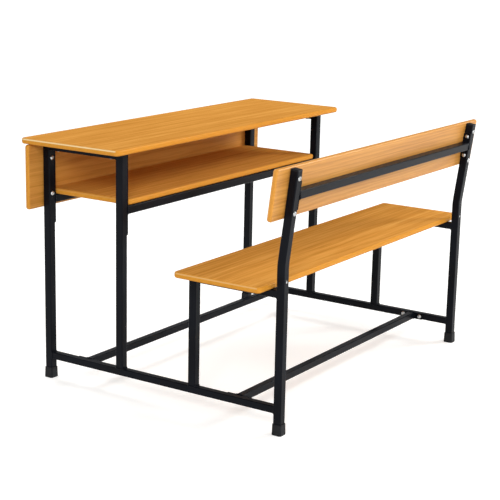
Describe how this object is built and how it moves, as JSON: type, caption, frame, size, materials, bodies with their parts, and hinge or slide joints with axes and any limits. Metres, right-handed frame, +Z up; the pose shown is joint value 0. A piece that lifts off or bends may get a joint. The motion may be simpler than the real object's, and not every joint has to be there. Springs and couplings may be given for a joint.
{
  "type": "school desk with bench",
  "caption": "School desk joined to a bench with backrest: square steel tube frame, wood-grain desktop, book shelf, modesty panel, seat and backrest boards.",
  "frame": {"origin": "on the floor, under the middle of the whole desk and bench", "axes": "+X along the boards to the pupil's right, +Y the way the pupil faces, +Z up"},
  "size_m": [1.25, 0.9317, 0.7637],
  "materials": {
    "frame_steel": "glossy black powder coat",
    "laminate": "satin wood-grain laminate with rounded sealed edges",
    "boot_rubber": "matte moulded rubber",
    "cap_plastic": "moulded black plastic",
    "zinc": "bright zinc plating"
  },
  "bodies": {
    "root": {"left_front_leg": "frame_steel", "left_rear_leg": "frame_steel", "left_top_rail": "frame_steel", "left_bottom_rail": "frame_steel", "left_bench_leg": "frame_steel", "left_seat_rail": "frame_steel", "left_back_upright": "frame_steel", "right_front_leg": "frame_steel", "right_rear_leg": "frame_steel", "right_top_rail": "frame_steel", "right_bottom_rail": "frame_steel", "right_bench_leg": "frame_steel", "right_seat_rail": "frame_steel", "right_back_upright": "frame_steel", "shelf_front_rail": "frame_steel", "shelf_front_rail_left_plate": "frame_steel", "shelf_front_rail_right_plate": "frame_steel", "shelf_back_rail": "frame_steel", "shelf_back_rail_left_plate": "frame_steel", "shelf_back_rail_right_plate": "frame_steel", "front_cross_rail": "frame_steel", "front_cross_rail_left_plate": "frame_steel", "front_cross_rail_right_plate": "frame_steel", "rear_cross_rail": "frame_steel", "rear_cross_rail_left_plate": "frame_steel", "rear_cross_rail_right_plate": "frame_steel", "backrest_rail": "frame_steel", "backrest_rail_left_plate": "frame_steel", "backrest_rail_right_plate": "frame_steel", "desktop": "laminate", "book_shelf": "laminate", "modesty_panel": "laminate", "bench_seat": "laminate", "backrest": "laminate", "left_upright_cap": "cap_plastic", "left_front_boot": "boot_rubber", "left_back_boot": "boot_rubber", "right_upright_cap": "cap_plastic", "right_front_boot": "boot_rubber", "right_back_boot": "boot_rubber", "modesty_panel_bolts": "zinc", "backrest_bolts": "zinc", "cross_rail_bolts": "zinc", "shelf_rail_bolts": "zinc", "backrest_rail_bolts": "zinc", "desktop_screws": "zinc", "seat_screws": "zinc", "shelf_screws": "zinc", "upright_rivets": "zinc", "rivet_nuts": "zinc", "modesty_panel_inserts": "zinc", "backrest_inserts": "zinc"}
  },
  "joints": []
}
